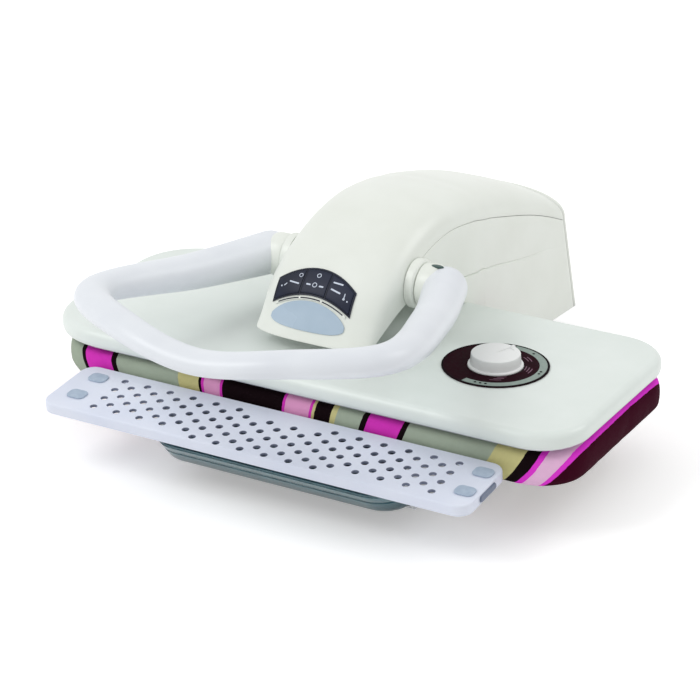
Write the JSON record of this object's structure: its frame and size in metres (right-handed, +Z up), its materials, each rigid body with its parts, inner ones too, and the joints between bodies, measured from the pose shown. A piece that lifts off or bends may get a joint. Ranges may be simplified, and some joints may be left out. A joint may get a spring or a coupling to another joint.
{
  "type": "steam ironing press",
  "caption": "Tabletop steam press: padded board on a low base, heated head on a rear-hinged arm, loop handle, perforated front shelf and a sliding water tank.",
  "frame": {"origin": "middle of the footprint on the table: centre of the bounding box at the feet's underside", "axes": "+X to the user's right along the board, +Y away from the user towards the hinge, +Z up"},
  "size_m": [0.64, 0.689, 0.247],
  "materials": {
    "ivory_plastic": "satin",
    "head_paint": "satin",
    "handle_plastic": "satin",
    "shelf_plastic": "satin",
    "pale_rubber": "matte",
    "black_rubber": "matte",
    "tank_plastic": "clear",
    "cap_plastic": "satin",
    "dial_print": "printed",
    "key_plastic": "satin",
    "label_plastic": "satin",
    "base_plastic": "satin",
    "cover_cloth": "woven, striped",
    "foam": "open foam",
    "deck_board": "pressed board",
    "aluminium": "satin",
    "steel": "satin",
    "brass": "machined",
    "insulation_felt": "felt",
    "circuit_board": "laminate"
  },
  "bodies": {
    "base": {"base_chassis": "base_plastic", "base_bottom_plate": "base_plastic", "foot_front_left": "black_rubber", "foot_front_right": "black_rubber", "foot_middle_left": "black_rubber", "foot_middle_right": "black_rubber", "foot_rear_left": "black_rubber", "foot_rear_right": "black_rubber", "board_deck": "deck_board", "board_pad": "foam", "board_cover": "cover_cloth", "pump": "cap_plastic", "cord_inlet": "black_rubber", "shelf_plate": "shelf_plastic", "shelf_pad_rear_left": "pale_rubber", "shelf_pad_front_left": "pale_rubber", "shelf_pad_rear_right": "pale_rubber", "shelf_pad_front_right": "pale_rubber", "shelf_lens_left": "label_plastic", "shelf_lens_right": "label_plastic", "shelf_rail_left": "base_plastic", "shelf_rail_right": "base_plastic", "water_socket": "black_rubber", "hinge_bracket_left": "steel", "hinge_bracket_right": "steel", "hinge_shaft": "steel", "torsion_spring_left": "steel", "torsion_spring_right": "steel"},
    "arm": {"arm_frame": "steel", "arm_top_cover": "ivory_plastic", "arm_side_panel_left": "ivory_plastic", "arm_side_panel_right": "ivory_plastic", "arm_rear_cover": "ivory_plastic", "arm_bottom_cover": "ivory_plastic", "control_bezel": "key_plastic", "label_plate": "label_plastic", "indicator_strip": "label_plastic", "key_mat": "black_rubber", "control_board": "circuit_board", "handle_knuckle_left": "ivory_plastic", "handle_knuckle_right": "ivory_plastic", "hinge_bush_left": "brass", "hinge_bush_right": "brass", "head_hanger": "aluminium", "head_shell": "head_paint", "heating_plate": "aluminium", "heating_element": "steel", "insulation": "insulation_felt", "thermostat": "steel", "dial_ring": "dial_print"},
    "handle": {"handle_loop": "handle_plastic", "handle_shaft": "steel", "pressure_cam": "steel"},
    "dial": {"dial_knob": "handle_plastic"},
    "key_left": {"key_left": "key_plastic"},
    "key_middle": {"key_middle": "key_plastic"},
    "key_right": {"key_right": "key_plastic"},
    "tank": {"tank_body": "tank_plastic", "tank_lid": "tank_plastic"},
    "cap": {"tank_cap": "cap_plastic"}
  },
  "joints": [
    {"name": "arm_hinge", "type": "hinge", "parent": "base", "child": "arm", "pos_m": [-0.01, 0.28447, 0.078], "axis": [-1, 0, 0], "range_deg": [0, 45]},
    {"name": "handle_pivot", "type": "hinge", "parent": "arm", "child": "handle", "pos_m": [-0.01, -0.00531, 0.18045], "axis": [-1, 0, 0], "range_deg": [0, 28]},
    {"name": "dial_turn", "type": "hinge", "parent": "arm", "child": "dial", "pos_m": [0.175, -0.03647, 0.12], "axis": [0, 0, 1], "range_deg": [-150, 120]},
    {"name": "key_left_press", "type": "slide", "parent": "arm", "child": "key_left", "axis": [0, 0.8592, -0.5117], "range_m": [0, 0.0015], "stiffness_N_per_m": 900, "springref_m": -0.001},
    {"name": "key_middle_press", "type": "slide", "parent": "arm", "child": "key_middle", "axis": [0, 0.8592, -0.5117], "range_m": [0, 0.0015], "stiffness_N_per_m": 900, "springref_m": -0.001},
    {"name": "key_right_press", "type": "slide", "parent": "arm", "child": "key_right", "axis": [0, 0.8592, -0.5117], "range_m": [0, 0.0015], "stiffness_N_per_m": 900, "springref_m": -0.001},
    {"name": "tank_slide", "type": "slide", "parent": "base", "child": "tank", "axis": [0, -1, 0], "range_m": [0, 0.085]},
    {"name": "cap_turn", "type": "hinge", "parent": "tank", "child": "cap", "pos_m": [0.095, -0.19647, 0.0579], "axis": [0, 0, 1], "range_deg": [0, 90]}
  ]
}
